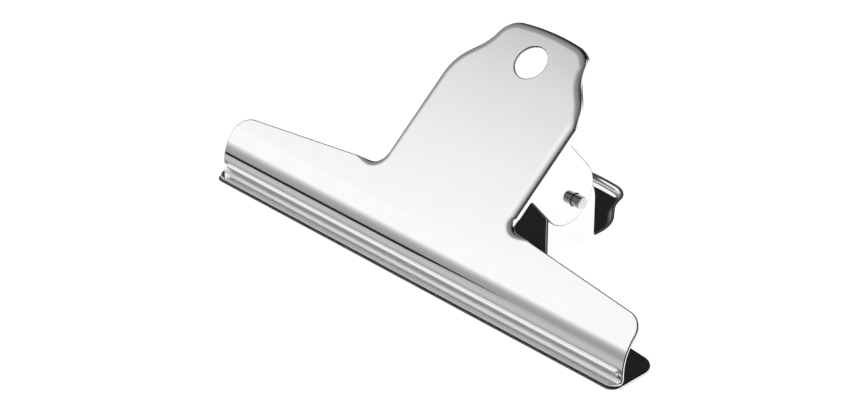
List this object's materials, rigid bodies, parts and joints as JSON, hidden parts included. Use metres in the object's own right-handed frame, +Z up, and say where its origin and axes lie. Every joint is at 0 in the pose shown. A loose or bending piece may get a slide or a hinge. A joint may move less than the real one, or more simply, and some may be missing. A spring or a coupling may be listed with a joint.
{
  "type": "bulldog clip",
  "caption": "Wide sprung letter clip of plated steel: a curved front jaw and a flat back jaw on a pivot pin, with rimmed handles that have hang holes.",
  "frame": {"origin": "centre of the clip's length and width, in the plane of the back jaw's outer face, on which the clip lies", "axes": "+X along the mouth, +Y from the mouth to the handle tips, +Z up from the back jaw to the front jaw"},
  "size_m": [0.145, 0.0728, 0.0511],
  "materials": {
    "plated_steel": "bright nickel plate",
    "pin_steel": "bright nickel plate",
    "spring_wire": "drawn spring wire"
  },
  "bodies": {
    "back": {"back_jaw": "plated_steel", "pivot_pin": "pin_steel", "spring": "spring_wire"},
    "front": {"front_jaw": "plated_steel"}
  },
  "joints": [
    {"name": "jaw_hinge", "type": "hinge", "parent": "back", "child": "front", "pos_m": [0, 0.003, 0.0172], "axis": [-1, 0, 0], "range_deg": [0, 85], "stiffness_Nm_per_rad": 0.5, "springref_deg": -68.75, "deforming": ["spring"]}
  ]
}
